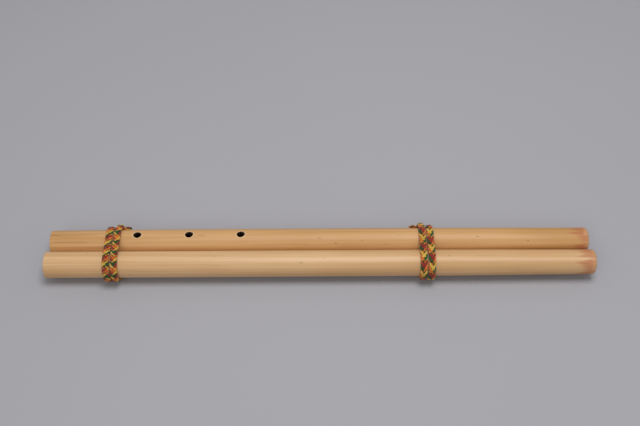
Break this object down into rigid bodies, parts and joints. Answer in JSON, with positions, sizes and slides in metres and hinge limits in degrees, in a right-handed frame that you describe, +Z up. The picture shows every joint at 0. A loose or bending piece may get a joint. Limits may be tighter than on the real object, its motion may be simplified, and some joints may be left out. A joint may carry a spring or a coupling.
{
  "type": "double nose flute",
  "caption": "Two bamboo pipes bound side by side with braided cord, one with finger holes, each with a blow hole, block and sound window.",
  "frame": {"origin": "middle of the underside, on the surface that the flute lies on", "axes": "+X along the pipes towards the blown heads, +Y from the drone pipe to the melody pipe, +Z up"},
  "size_m": [0.52, 0.061, 0.0327],
  "materials": {
    "melody_bamboo": "smooth scraped bamboo, satin, reddish stain at the head",
    "drone_bamboo": "smooth scraped bamboo, satin, reddish stain at the head",
    "block_wood": "whittled softwood, matt",
    "foot_cord": "braided green, yellow, orange and red yarn",
    "head_cord": "braided green, yellow, orange and red yarn"
  },
  "bodies": {
    "root": {"melody_tube": "melody_bamboo", "drone_tube": "drone_bamboo", "melody_plug": "block_wood", "drone_plug": "block_wood", "foot_binding": "foot_cord", "head_binding": "head_cord"}
  },
  "joints": []
}
